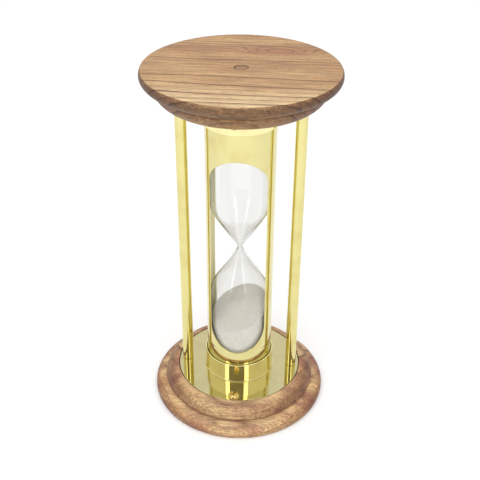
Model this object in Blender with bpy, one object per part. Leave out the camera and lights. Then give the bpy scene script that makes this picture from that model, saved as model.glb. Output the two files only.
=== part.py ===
"""Brass and wood sand timer: two turned discs, two rods, and a glass vial inside a windowed brass tube.

The timer stands on its base disc with the base's underside at Z = 0 and its axis on +Z. The rods stand on
the X axis and the tube's windows face -Y and +Y. Lengths are in metres.
"""

import math

import bmesh
import bpy
from mathutils import Matrix, Vector

MM = 0.001

# Driving dimensions.
TOTAL_HEIGHT = 180.0 * MM
DISC_RADIUS = 45.0 * MM
PLATE_FACE_DEPTH = 14.2 * MM  # from a disc's outer face to the brass plate's visible face
FIT_GAP = 0.3 * MM  # between pieces that touch
THROUGH_GAP = 0.5 * MM  # how far a cutter runs past the face that it opens

# Turned disc: the outline runs from the outer face to the rim of the recess.
FACE_RADIUS = 43.5 * MM
BEAD_WIDEST_DEPTH = 2.3 * MM
GROOVE_RADIUS = 37.8 * MM
GROOVE_DEPTH = 6.9 * MM
SHOULDER_RADIUS = 39.4 * MM
SHOULDER_CENTRE_RADIUS = 30.6 * MM
RIM_RADIUS = 32.3 * MM
RIM_DEPTH = 14.8 * MM

# Brass plate and its round-head screws.
PLATE_RADIUS = 32.0 * MM
PLATE_THICKNESS = 1.2 * MM
PLATE_SCREW_RING = 29.0 * MM
PLATE_SCREW_HEAD_RADIUS = 2.75 * MM
PLATE_SCREW_HEAD_HEIGHT = 1.8 * MM
PLATE_SCREW_SHANK_RADIUS = 1.25 * MM
PLATE_SCREW_LENGTH = 8.0 * MM
SLOT_WIDTH = 0.7 * MM
SLOT_DEPTH = 0.8 * MM

# Cup that holds an end of the tube.
CUP_HEIGHT = 10.7 * MM
CUP_LIP_RADIUS = 17.8 * MM
CUP_FOOT_RADIUS = 18.35 * MM
CUP_BORE_RADIUS = 17.15 * MM
CUP_FLOOR = 1.2 * MM

# Machine screws, their nuts and the plugs over them.
MACHINE_SHANK_RADIUS = 1.5 * MM
MACHINE_HEAD_RADIUS = 2.8 * MM
MACHINE_HEAD_HEIGHT = 1.8 * MM
NUT_ACROSS_FLATS = 5.5 * MM
NUT_THICKNESS = 2.4 * MM
PLUG_RADIUS = 3.0 * MM
PLUG_LENGTH = 3.2 * MM
COUNTERBORE_DEPTH = 6.0 * MM

# Rods.
ROD_RADIUS = 2.8 * MM
ROD_RING = 27.7 * MM
ROD_BORE_DEPTH = 9.0 * MM

# Window tube.
TUBE_RADIUS = 16.75 * MM
TUBE_WALL = 0.9 * MM
WINDOW_WIDTH = 27.1 * MM
WINDOW_LENGTH = 109.4 * MM
WINDOW_CENTRE_Z = 87.0 * MM

# Glass vial, with its neck level with the middle of the windows.
BULB_RADIUS = 15.2 * MM
BULB_LENGTH = 66.2 * MM  # from the neck to an end
BULB_END_ROUND = 6.0 * MM
GLASS_WALL = 0.8 * MM
NECK_RADIUS = 1.3 * MM
NECK_BORE_RADIUS = 0.45 * MM
TAPER_LENGTH = 30.0 * MM
TAPER_FULLNESS = 1.4
FILL_HOLE_RADIUS = 1.8 * MM
STOPPER_LENGTH = 4.5 * MM
PAD_BORE_RADIUS = 4.0 * MM

# Sand in the lower bulb: its surface is a slope that falls from the right rear to the left front.
SAND_LEVEL = 49.5 * MM
SAND_SLOPE = math.radians(20.0)
SAND_SLOPE_HEADING = math.radians(35.0)

# How finely round shapes are cut.
DISC_SIDES = 48
BRASS_SIDES = 48
VIAL_SIDES = 24
SCREW_SIDES = 16
ROD_SIDES = 16
ARC_STEPS = 4
TAPER_STEPS = 6

# Levels that follow from the dimensions above.
PLATE_FACE_Z = PLATE_FACE_DEPTH
PLATE_BACK_Z = PLATE_FACE_Z - PLATE_THICKNESS
RECESS_FLOOR_Z = PLATE_BACK_Z - FIT_GAP
CUP_BASE_Z = PLATE_FACE_Z + FIT_GAP
CUP_FLOOR_Z = CUP_BASE_Z + CUP_FLOOR
CUP_LIP_Z = PLATE_FACE_Z + CUP_HEIGHT
NECK_Z = WINDOW_CENTRE_Z
HALF_TURN_OVER = Matrix.Translation((0.0, 0.0, TOTAL_HEIGHT)) @ Matrix.Rotation(math.pi, 4, "X")

WOOD = {"color": (0.47, 0.27, 0.13), "roughness": 0.5, "metallic": 0.0}
DARK_WOOD = {"color": (0.36, 0.19, 0.10), "roughness": 0.55, "metallic": 0.0}
BRASS = {"color": (0.83, 0.68, 0.26), "roughness": 0.12, "metallic": 1.0}
PLATE_BRASS = {"color": (0.66, 0.60, 0.32), "roughness": 0.2, "metallic": 1.0}
STEEL = {"color": (0.56, 0.56, 0.55), "roughness": 0.3, "metallic": 1.0}
CORK = {"color": (0.52, 0.34, 0.19), "roughness": 0.9, "metallic": 0.0}
GLASS = {"color": (0.90, 0.93, 0.92), "roughness": 0.02, "metallic": 0.0}
SAND = {"color": (0.66, 0.62, 0.54), "roughness": 0.95, "metallic": 0.0}


def clear_scene():
    """Remove the startup objects."""
    for old in list(bpy.data.objects):
        bpy.data.objects.remove(old, do_unlink=True)


def make_material(name, color, roughness, metallic):
    """Return a Principled material in one finish."""
    material = bpy.data.materials.new(name)
    material.use_nodes = True
    shader = material.node_tree.nodes["Principled BSDF"]
    shader.inputs["Base Color"].default_value = (*color, 1.0)
    shader.inputs["Roughness"].default_value = roughness
    shader.inputs["Metallic"].default_value = metallic
    return material


def add_object(name, mesh_builder, finish=None):
    """Turn a bmesh into a named object, smooth except at its real edges, in its own material."""
    mesh = bpy.data.meshes.new(name)
    bmesh.ops.remove_doubles(mesh_builder, verts=mesh_builder.verts, dist=0.001 * MM)
    bmesh.ops.recalc_face_normals(mesh_builder, faces=mesh_builder.faces)
    mesh_builder.to_mesh(mesh)
    mesh_builder.free()
    mesh.shade_smooth()
    mesh.set_sharp_from_angle(angle=math.radians(35.0))
    piece = bpy.data.objects.new(name, mesh)
    bpy.context.scene.collection.objects.link(piece)
    if finish is not None:
        mesh.materials.append(make_material(name + "_finish", **finish))
    return piece


def turn(outline, sides):
    """Spin an outline of (radius, height) points once about +Z. Its two ends close the shape."""
    builder = bmesh.new()
    points = [builder.verts.new((radius, 0.0, height)) for radius, height in outline]
    edges = [builder.edges.new(pair) for pair in zip(points, points[1:])]
    bmesh.ops.spin(
        builder,
        geom=points + edges,
        cent=(0.0, 0.0, 0.0),
        axis=(0.0, 0.0, 1.0),
        angle=math.tau,
        steps=sides,
        use_merge=True,
    )
    bmesh.ops.remove_doubles(builder, verts=builder.verts, dist=0.001 * MM)
    return builder


def turn_ring(outline, sides):
    """Spin a closed outline that stays clear of the axis."""
    return turn(outline + outline[:1], sides)


def arc(centre, size, start, end, steps):
    """Return points on an ellipse's arc: centre and size are (radius, height) pairs, angles in degrees."""
    points = []
    for step in range(steps + 1):
        angle = math.radians(start + (end - start) * step / steps)
        points.append((centre[0] + size[0] * math.cos(angle), centre[1] + size[1] * math.sin(angle)))
    return points


def moved(builder, offset):
    """Shift a bmesh and return it."""
    bmesh.ops.translate(builder, verts=builder.verts, vec=offset)
    return builder


def cylinder(radius, low, high, sides):
    """Return a plain capped cylinder on the Z axis."""
    return turn([(0.0, low), (radius, low), (radius, high), (0.0, high)], sides)


def cut(piece, cutter, solver="EXACT"):
    """Subtract a helper object from a piece."""
    cutter.hide_render = True
    cutter.display_type = "WIRE"
    boolean = piece.modifiers.new("cut_" + cutter.name, "BOOLEAN")
    boolean.operation = "DIFFERENCE"
    boolean.solver = solver
    boolean.object = cutter


def turned_over(piece, name, finish):
    """Copy a base piece to the top of the timer, turned over about the X axis."""
    copy = piece.copy()
    copy.name = name
    copy.data = piece.data.copy()
    copy.data.materials.clear()
    copy.data.materials.append(make_material(name + "_finish", **finish))
    copy.matrix_world = HALF_TURN_OVER
    bpy.context.scene.collection.objects.link(copy)
    for modifier in copy.modifiers:
        helper = modifier.object.copy()
        helper.matrix_world = HALF_TURN_OVER @ modifier.object.matrix_world
        bpy.context.scene.collection.objects.link(helper)
        modifier.object = helper
    return copy


def disc_outline():
    """Return the disc's outline, from the middle of its outer face to the middle of its recess floor."""
    bead_reach = DISC_RADIUS - FACE_RADIUS
    bead_top = arc((FACE_RADIUS, BEAD_WIDEST_DEPTH), (bead_reach, BEAD_WIDEST_DEPTH), -90, 0, ARC_STEPS - 1)
    bead_size = (DISC_RADIUS - GROOVE_RADIUS, GROOVE_DEPTH - BEAD_WIDEST_DEPTH)
    bead_foot = arc((GROOVE_RADIUS, BEAD_WIDEST_DEPTH), bead_size, 0, 90, ARC_STEPS)
    shoulder_size = (SHOULDER_RADIUS - SHOULDER_CENTRE_RADIUS, RIM_DEPTH - GROOVE_DEPTH)
    shoulder_end = math.degrees(math.acos((RIM_RADIUS - SHOULDER_CENTRE_RADIUS) / shoulder_size[0]))
    shoulder = arc((SHOULDER_CENTRE_RADIUS, GROOVE_DEPTH), shoulder_size, 0, shoulder_end, ARC_STEPS + 1)
    hole_radius = MACHINE_SHANK_RADIUS + FIT_GAP
    bore_radius = PLUG_RADIUS + FIT_GAP
    middle = [(RIM_RADIUS, RECESS_FLOOR_Z), (hole_radius, RECESS_FLOOR_Z)]
    middle += [(hole_radius, COUNTERBORE_DEPTH), (bore_radius, COUNTERBORE_DEPTH), (bore_radius, 0.0)]
    return bead_top + bead_foot[1:] + shoulder + middle


def build_disc():
    """Make the base disc, with pockets for the rod screws' heads and pilot holes for the plate screws."""
    disc = add_object("base_disc", turn_ring(disc_outline(), DISC_SIDES), WOOD)
    pocket_radius = MACHINE_HEAD_RADIUS + FIT_GAP
    pocket_floor = RECESS_FLOOR_Z - MACHINE_HEAD_HEIGHT - FIT_GAP
    pilot_radius = PLATE_SCREW_SHANK_RADIUS + FIT_GAP
    pilot_floor = PLATE_FACE_Z - PLATE_SCREW_LENGTH - FIT_GAP
    mouth = RECESS_FLOOR_Z + THROUGH_GAP
    for side in (-1, 1):
        pocket = cylinder(pocket_radius, pocket_floor, mouth, SCREW_SIDES)
        pocket = moved(pocket, (side * ROD_RING, 0.0, 0.0))
        cut(disc, add_object("rod_screw_pocket", pocket))
        pilot = cylinder(pilot_radius, pilot_floor, mouth, SCREW_SIDES)
        pilot = moved(pilot, (0.0, side * PLATE_SCREW_RING, 0.0))
        cut(disc, add_object("plate_screw_pilot", pilot))
    return disc


def build_plate():
    """Make the base plate with its five holes."""
    hole_radius = MACHINE_SHANK_RADIUS + FIT_GAP
    outline = [(hole_radius, PLATE_BACK_Z), (PLATE_RADIUS, PLATE_BACK_Z)]
    outline += [(PLATE_RADIUS, PLATE_FACE_Z), (hole_radius, PLATE_FACE_Z)]
    plate = add_object("base_plate", turn_ring(outline, DISC_SIDES), PLATE_BRASS)
    low = PLATE_BACK_Z - THROUGH_GAP
    high = PLATE_FACE_Z + THROUGH_GAP
    screw_hole_radius = PLATE_SCREW_SHANK_RADIUS + FIT_GAP
    for side in (-1, 1):
        rod_hole = moved(cylinder(hole_radius, low, high, SCREW_SIDES), (side * ROD_RING, 0.0, 0.0))
        cut(plate, add_object("rod_screw_hole", rod_hole), "MANIFOLD")
        screw_hole = cylinder(screw_hole_radius, low, high, SCREW_SIDES)
        screw_hole = moved(screw_hole, (0.0, side * PLATE_SCREW_RING, 0.0))
        cut(plate, add_object("plate_screw_hole", screw_hole), "MANIFOLD")
    return plate


def build_cup():
    """Make the base cup: a floor with a screw hole, and a wall that tapers from its foot to its lip."""
    hole_radius = MACHINE_SHANK_RADIUS + FIT_GAP
    outline = [(hole_radius, CUP_BASE_Z), (CUP_FOOT_RADIUS, CUP_BASE_Z), (CUP_LIP_RADIUS, CUP_LIP_Z)]
    outline += [(CUP_BORE_RADIUS, CUP_LIP_Z), (CUP_BORE_RADIUS, CUP_FLOOR_Z), (hole_radius, CUP_FLOOR_Z)]
    return add_object("base_cup", turn_ring(outline, BRASS_SIDES), BRASS)


def build_plug():
    """Make the wooden plug that closes the disc's counterbore flush."""
    return add_object("base_plug", cylinder(PLUG_RADIUS, 0.0, PLUG_LENGTH, SCREW_SIDES), DARK_WOOD)


def build_cup_screw():
    """Make the pan-head screw that runs through disc, plate, cup and nut."""
    head_top = COUNTERBORE_DEPTH - FIT_GAP
    head_base = head_top - MACHINE_HEAD_HEIGHT
    tip = CUP_FLOOR_Z + FIT_GAP + NUT_THICKNESS + FIT_GAP
    outline = [(0.0, head_base), (MACHINE_HEAD_RADIUS, head_base), (MACHINE_HEAD_RADIUS, head_top)]
    outline += [(MACHINE_SHANK_RADIUS, head_top), (MACHINE_SHANK_RADIUS, tip), (0.0, tip)]
    return add_object("base_cup_screw", turn(outline, SCREW_SIDES), STEEL)


def build_cup_nut():
    """Make the hexagon nut on the cup's floor: a turned bore inside six flats."""
    low = CUP_FLOOR_Z + FIT_GAP
    corner_radius = NUT_ACROSS_FLATS / 2.0 / math.cos(math.pi / 6.0)
    blank = add_object("base_cup_nut", cylinder(corner_radius, low, low + NUT_THICKNESS, 6), STEEL)
    bore_radius = MACHINE_SHANK_RADIUS + FIT_GAP
    bore = cylinder(bore_radius, low - THROUGH_GAP, low + NUT_THICKNESS + THROUGH_GAP, SCREW_SIDES)
    cut(blank, add_object("nut_bore", bore))
    return blank


def build_rod_screw(side):
    """Make the screw that holds a rod to the base plate, its head behind the plate."""
    head_top = RECESS_FLOOR_Z
    head_base = head_top - MACHINE_HEAD_HEIGHT
    tip = PLATE_FACE_Z + ROD_BORE_DEPTH - FIT_GAP
    outline = [(0.0, head_base), (MACHINE_HEAD_RADIUS, head_base), (MACHINE_HEAD_RADIUS, head_top)]
    outline += [(MACHINE_SHANK_RADIUS, head_top), (MACHINE_SHANK_RADIUS, tip), (0.0, tip)]
    word = "left" if side < 0 else "right"
    screw = moved(turn(outline, SCREW_SIDES), (side * ROD_RING, 0.0, 0.0))
    return add_object("base_" + word + "_rod_screw", screw, STEEL)


def build_plate_screw(side):
    """Make a slotted round-head screw that holds the base plate in the disc's recess."""
    seat = PLATE_FACE_Z + FIT_GAP
    tip = PLATE_FACE_Z - PLATE_SCREW_LENGTH
    point = tip + 2.0 * PLATE_SCREW_SHANK_RADIUS
    outline = [(0.0, tip), (PLATE_SCREW_SHANK_RADIUS, point), (PLATE_SCREW_SHANK_RADIUS, seat)]
    outline += arc((0.0, seat), (PLATE_SCREW_HEAD_RADIUS, PLATE_SCREW_HEAD_HEIGHT), 0, 90, ARC_STEPS)
    word = "front" if side < 0 else "back"
    offset = (0.0, side * PLATE_SCREW_RING, 0.0)
    screw = moved(turn(outline, SCREW_SIDES), offset)
    piece = add_object("base_plate_screw_" + word, screw, BRASS)
    slot = bmesh.new()
    bmesh.ops.create_cube(slot, size=1.0)
    slot_size = (4.0 * PLATE_SCREW_HEAD_RADIUS, SLOT_WIDTH, 2.0 * SLOT_DEPTH)
    bmesh.ops.scale(slot, verts=slot.verts, vec=slot_size)
    slot = moved(slot, (0.0, side * PLATE_SCREW_RING, seat + PLATE_SCREW_HEAD_HEIGHT))
    cut(piece, add_object("screw_slot", slot))
    return piece


def build_rod(side):
    """Make a rod with a blind bore in each end for its screws."""
    low = PLATE_FACE_Z + FIT_GAP
    high = TOTAL_HEIGHT - low
    bore_radius = MACHINE_SHANK_RADIUS + FIT_GAP
    bore_low = PLATE_FACE_Z + ROD_BORE_DEPTH
    bore_high = TOTAL_HEIGHT - bore_low
    outline = [(0.0, bore_low), (bore_radius, bore_low), (bore_radius, low), (ROD_RADIUS, low)]
    outline += [(ROD_RADIUS, high), (bore_radius, high), (bore_radius, bore_high), (0.0, bore_high)]
    rod = moved(turn(outline, ROD_SIDES), (side * ROD_RING, 0.0, 0.0))
    return add_object(("left" if side < 0 else "right") + "_rod", rod, BRASS)


def build_window_tube():
    """Make the tube, with a round-ended window through its front and back walls."""
    low = CUP_FLOOR_Z + FIT_GAP
    high = TOTAL_HEIGHT - low
    inner = TUBE_RADIUS - TUBE_WALL
    tube = turn_ring([(inner, low), (TUBE_RADIUS, low), (TUBE_RADIUS, high), (inner, high)], BRASS_SIDES)
    tube = add_object("window_tube", tube, BRASS)
    end_radius = WINDOW_WIDTH / 2.0
    end_offset = WINDOW_LENGTH / 2.0 - end_radius
    outline = arc((0.0, WINDOW_CENTRE_Z + end_offset), (end_radius, end_radius), 0, 180, 4 * ARC_STEPS)
    outline += arc((0.0, WINDOW_CENTRE_Z - end_offset), (end_radius, end_radius), 180, 360, 4 * ARC_STEPS)
    window = bmesh.new()
    front = window.faces.new([window.verts.new((x, -2.0 * TUBE_RADIUS, z)) for x, z in outline])
    swept = bmesh.ops.extrude_face_region(window, geom=[front])
    swept_verts = [item for item in swept["geom"] if isinstance(item, bmesh.types.BMVert)]
    bmesh.ops.translate(window, verts=swept_verts, vec=(0.0, 4.0 * TUBE_RADIUS, 0.0))
    cut(tube, add_object("window_cutter", window))
    return tube


def bulb_taper(neck_radius, bulb_radius, steps):
    """Return (distance from the neck, radius) pairs from the neck out to the bulb's full width.

    The radius grows as 1 - (1 - t) ** fullness, so the cone is nearly straight and rounds into the bulb.
    """
    pairs = []
    for step in range(steps + 1):
        t = step / steps
        growth = 1.0 - (1.0 - t) ** TAPER_FULLNESS
        pairs.append((TAPER_LENGTH * t, neck_radius + (bulb_radius - neck_radius) * growth))
    return pairs


def lower_bulb(neck_radius, bulb_radius, end_z, end_round):
    """Return the lower bulb's outline as (radius, height), from the middle of its end up to the neck."""
    outline = [(0.0, end_z)]
    outline += arc((bulb_radius - end_round, end_z + end_round), (end_round, end_round), -90, 0, ARC_STEPS)
    taper = bulb_taper(neck_radius, bulb_radius, TAPER_STEPS)
    outline += [(radius, NECK_Z - distance) for distance, radius in reversed(taper)]
    return outline


def build_vial():
    """Make the glass: an outer skin and an inner skin that meet at the fill hole in the upper end."""
    end_z = NECK_Z - BULB_LENGTH
    inner_radius = BULB_RADIUS - GLASS_WALL
    inner_round = BULB_END_ROUND - GLASS_WALL
    outer_low = lower_bulb(NECK_RADIUS, BULB_RADIUS, end_z, BULB_END_ROUND)
    inner_low = lower_bulb(NECK_BORE_RADIUS, inner_radius, end_z + GLASS_WALL, inner_round)
    outer_high = [(radius, 2.0 * NECK_Z - height) for radius, height in reversed(outer_low[1:-1])]
    inner_high = [(radius, 2.0 * NECK_Z - height) for radius, height in reversed(inner_low[1:-1])]
    top_z = NECK_Z + BULB_LENGTH
    hole = [(FILL_HOLE_RADIUS, top_z), (FILL_HOLE_RADIUS, top_z - GLASS_WALL)]
    outline = outer_low + outer_high + hole + list(reversed(inner_low + inner_high))
    return add_object("glass_vial", turn(outline, VIAL_SIDES), GLASS)


def build_stopper():
    """Make the cork in the fill hole, standing a little proud of the glass."""
    top = NECK_Z + BULB_LENGTH + STOPPER_LENGTH / 3.0
    low_radius = FILL_HOLE_RADIUS - 2.0 * FIT_GAP
    high_radius = FILL_HOLE_RADIUS - FIT_GAP
    bottom = top - STOPPER_LENGTH
    outline = [(0.0, bottom), (low_radius, bottom), (high_radius, top), (0.0, top)]
    return add_object("fill_stopper", turn(outline, SCREW_SIDES), CORK)


def build_sand():
    """Make the sand: the lower bulb's inside, cut off by the sloping surface."""
    clearance = GLASS_WALL + FIT_GAP
    end_z = NECK_Z - BULB_LENGTH + clearance
    outline = lower_bulb(NECK_BORE_RADIUS, BULB_RADIUS - clearance, end_z, BULB_END_ROUND - clearance)
    sand = turn(outline + [(0.0, NECK_Z)], VIAL_SIDES)
    bmesh.ops.recalc_face_normals(sand, faces=sand.faces)
    heading = Vector((math.cos(SAND_SLOPE_HEADING), math.sin(SAND_SLOPE_HEADING), 0.0))
    normal = Vector((0.0, 0.0, 1.0)) - heading * math.tan(SAND_SLOPE)
    everything = list(sand.verts) + list(sand.edges) + list(sand.faces)
    split = bmesh.ops.bisect_plane(
        sand, geom=everything, plane_co=(0.0, 0.0, SAND_LEVEL), plane_no=normal, clear_outer=True
    )
    rim = [item for item in split["geom_cut"] if isinstance(item, bmesh.types.BMEdge)]
    bmesh.ops.edgenet_fill(sand, edges=rim)
    return add_object("sand", sand, SAND)


def build_pad(name, low, high):
    """Make a cork ring that an end of the vial rests on."""
    outline = [(PAD_BORE_RADIUS, low), (BULB_RADIUS, low), (BULB_RADIUS, high), (PAD_BORE_RADIUS, high)]
    return add_object(name, turn_ring(outline, VIAL_SIDES), CORK)


def build_end_parts():
    """Make every piece of the base, and the same pieces turned over at the top."""
    turned_over(build_disc(), "top_disc", WOOD)
    turned_over(build_plug(), "top_plug", DARK_WOOD)
    turned_over(build_plate(), "top_plate", PLATE_BRASS)
    turned_over(build_cup(), "top_cup", BRASS)
    turned_over(build_cup_screw(), "top_cup_screw", STEEL)
    turned_over(build_cup_nut(), "top_cup_nut", STEEL)
    turned_over(build_rod_screw(-1), "top_left_rod_screw", STEEL)
    turned_over(build_rod_screw(1), "top_right_rod_screw", STEEL)
    # Turning over about the X axis takes the front screw to the back.
    turned_over(build_plate_screw(-1), "top_plate_screw_back", BRASS)
    turned_over(build_plate_screw(1), "top_plate_screw_front", BRASS)


def build_middle_parts():
    """Make the rods, the tube, and the vial with what holds it and what is in it."""
    build_rod(-1)
    build_rod(1)
    build_window_tube()
    build_vial()
    build_stopper()
    build_sand()
    pad_low = CUP_FLOOR_Z + FIT_GAP
    build_pad("base_vial_pad", pad_low, NECK_Z - BULB_LENGTH - FIT_GAP)
    build_pad("top_vial_pad", NECK_Z + BULB_LENGTH + FIT_GAP, TOTAL_HEIGHT - pad_low)


clear_scene()
build_end_parts()
build_middle_parts()
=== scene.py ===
"""Looks of a brass and hardwood hourglass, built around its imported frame.

The timer stands on Z = 0 with its axis on +Z, its rods on the X axis and its windows facing -Y and +Y.
Lengths are in metres. Each sub-assembly is a class that builds its meshes and dresses them; each finish is a
frozen dataclass that makes one material; effects that finishes share are node groups, built once.
"""

import sys

import logging
import math
from dataclasses import dataclass
from enum import Enum
from typing import Optional, Sequence, Union

import bmesh
import bpy
from mathutils import Matrix, Vector


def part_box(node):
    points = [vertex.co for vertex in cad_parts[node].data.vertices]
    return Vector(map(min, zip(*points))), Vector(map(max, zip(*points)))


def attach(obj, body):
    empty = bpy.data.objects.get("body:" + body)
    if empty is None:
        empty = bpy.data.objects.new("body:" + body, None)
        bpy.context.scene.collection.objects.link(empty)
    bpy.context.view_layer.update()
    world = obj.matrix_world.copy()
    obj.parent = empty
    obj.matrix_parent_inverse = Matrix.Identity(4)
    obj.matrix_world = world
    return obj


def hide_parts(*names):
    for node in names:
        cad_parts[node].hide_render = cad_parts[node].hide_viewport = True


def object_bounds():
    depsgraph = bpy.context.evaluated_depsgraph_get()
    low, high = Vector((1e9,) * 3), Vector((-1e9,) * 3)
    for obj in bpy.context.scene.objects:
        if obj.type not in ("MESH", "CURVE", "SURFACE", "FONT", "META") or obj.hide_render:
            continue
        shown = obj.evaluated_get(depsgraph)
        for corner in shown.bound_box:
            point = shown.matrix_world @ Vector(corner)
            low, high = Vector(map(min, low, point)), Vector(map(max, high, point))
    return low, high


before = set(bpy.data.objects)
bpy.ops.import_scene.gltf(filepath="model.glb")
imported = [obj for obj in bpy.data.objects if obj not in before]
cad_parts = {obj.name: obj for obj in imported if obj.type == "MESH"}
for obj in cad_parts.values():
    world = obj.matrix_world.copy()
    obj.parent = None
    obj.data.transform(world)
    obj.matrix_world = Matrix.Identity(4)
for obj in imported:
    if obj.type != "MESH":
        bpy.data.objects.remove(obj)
CAD_LOW, CAD_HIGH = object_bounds()

MM = 0.001
Point = tuple[float, float]
Place = tuple[float, float, float]
Colour = tuple[float, float, float]
Outline = list[Point]
Mesh = bmesh.types.BMesh
Node = bpy.types.Node
Socket = bpy.types.NodeSocket
Feed = Union[float, tuple, Socket]

log = logging.getLogger("hourglass")


class Body(Enum):
    """The frame's moving bodies."""

    FRAME = "frame"
    SLEEVE = "sleeve"


class End(Enum):
    """The two ends of the timer, which are the same parts turned over."""

    BASE = "base"
    TOP = "top"


class Slot(Enum):
    """The record's material slots, one given with each new piece."""

    WOOD = "turned_wood"
    PLUG = "plug_wood"
    PLATE = "plate_brass"
    POLISHED = "polished_brass"
    TUBE = "tube_brass"
    SCREW = "screw_brass"
    GLASS = "vial_glass"
    SAND = "pale_sand"


@dataclass(frozen=True)
class Span:
    """Where a CAD node lies: its middle, its half width along X, and its two levels."""

    x: float
    radius: float
    low: float
    high: float

    @staticmethod
    def of(node: str) -> "Span":
        """Read a node's span at rest from its box."""
        low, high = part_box(node)
        return Span((low.x + high.x) / 2.0, (high.x - low.x) / 2.0, low.z, high.z)


TOTAL_HEIGHT = CAD_HIGH.z - CAD_LOW.z
TURN_OVER = Matrix.Translation((0.0, 0.0, TOTAL_HEIGHT)) @ Matrix.Rotation(math.pi, 4, "X")


# ---- mesh tools


def arc(centre: Point, radii: Union[float, Point], start: float, end: float, steps: int) -> Outline:
    """Return points on a round or an elliptical arc.

    Args:
        centre: The arc's centre, as (radius, height).
        radii: Its radius, or its two half axes.
        start: The first angle in degrees, from the +radius direction towards +height.
        end: The last angle in degrees.
        steps: How many segments the arc has.

    Returns:
        steps + 1 points, both ends included.
    """
    wide, tall = radii if isinstance(radii, tuple) else (radii, radii)
    angles = [math.radians(start + (end - start) * step / steps) for step in range(steps + 1)]
    return [(centre[0] + wide * math.cos(a), centre[1] + tall * math.sin(a)) for a in angles]


def supported(outline: Outline, margin: float) -> Outline:
    """Add a point near each end of every long stretch, so that a round edge's shading stays at the edge.

    Args:
        outline: The outline's points.
        margin: How far from the ends the new points lie.

    Returns:
        The outline with its new points.
    """
    points = [outline[0]]
    for before, after in zip(outline, outline[1:]):
        length = math.dist(before, after)
        if length > 4.0 * margin:
            along = (after[0] - before[0], after[1] - before[1])
            for share in (margin / length, 1.0 - margin / length):
                points.append((before[0] + along[0] * share, before[1] + along[1] * share))
        points.append(after)
    return points


def bridge(mesh: Mesh, first: Sequence, second: Sequence, closed: bool = True) -> None:
    """Join two rows of vertices with faces.

    Args:
        mesh: The mesh that holds the rows.
        first: One row; a row of one vertex makes a fan.
        second: The other row.
        closed: True if the rows go all the way round.
    """
    count = max(len(first), len(second))
    for side in range(count if closed else count - 1):
        after = (side + 1) % count
        corners = [first[side % len(first)], first[after % len(first)]]
        corners += [second[after % len(second)], second[side % len(second)]]
        mesh.faces.new(list(dict.fromkeys(corners)))


def lathe(outline: Outline, segments: int, ring: bool = False) -> Mesh:
    """Spin an outline once about +Z.

    Args:
        outline: Points as (radius, height). They run from axis to axis, or round a closed ring.
        segments: How many sides the turned shape has.
        ring: True if the outline is a closed loop that doesn't meet the axis.

    Returns:
        A closed mesh whose faces point out.
    """
    mesh = bmesh.new()
    turn = [math.tau * side / segments for side in range(segments)]
    rows = []
    for radius, height in outline:
        angles = turn if radius > 0.0001 * MM else [0.0]
        rows.append([mesh.verts.new((radius * math.cos(a), radius * math.sin(a), height)) for a in angles])
    for lower, upper in zip(rows, rows[1:] + rows[:1] if ring else rows[1:]):
        bridge(mesh, lower, upper)
    bmesh.ops.recalc_face_normals(mesh, faces=mesh.faces)
    return mesh


def linked(name: str, data: bpy.types.ID) -> bpy.types.Object:
    """Return a new object in the scene."""
    item = bpy.data.objects.new(name, data)
    bpy.context.scene.collection.objects.link(item)
    return item


def shade(data: bpy.types.Mesh, sharp_degrees: float) -> None:
    """Shade a mesh smooth, with edges that bend more than an angle kept crisp."""
    data.shade_smooth()
    data.set_sharp_from_angle(angle=math.radians(sharp_degrees))


def finished(
    name: str,
    mesh: Mesh,
    material: bpy.types.Material,
    end: End = End.BASE,
    sharp_degrees: float = 35.0,
) -> bpy.types.Object:
    """Turn a mesh into a dressed piece whose object sits at the origin.

    Args:
        name: The piece's name.
        mesh: The mesh, in place for the base end. It is freed.
        material: The piece's material.
        end: TOP turns the mesh over to the other end of the timer.
        sharp_degrees: Edges that bend more than this stay crisp.

    Returns:
        The new object.
    """
    if end is End.TOP:
        mesh.transform(TURN_OVER)
    data = bpy.data.meshes.new(name)
    mesh.to_mesh(data)
    mesh.free()
    shade(data, sharp_degrees)
    data.materials.append(material)
    return linked(name, data)


def settle(piece: bpy.types.Object, body: Body, slot: Slot, *nodes: str) -> None:
    """Make a piece ride on its body and stand for its CAD nodes."""
    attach(piece, body.value)
    if nodes:
        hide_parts(*nodes)
    log.info("%s: %d faces on %s", piece.name, len(piece.data.polygons), body.value)


# ---- node tools


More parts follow.
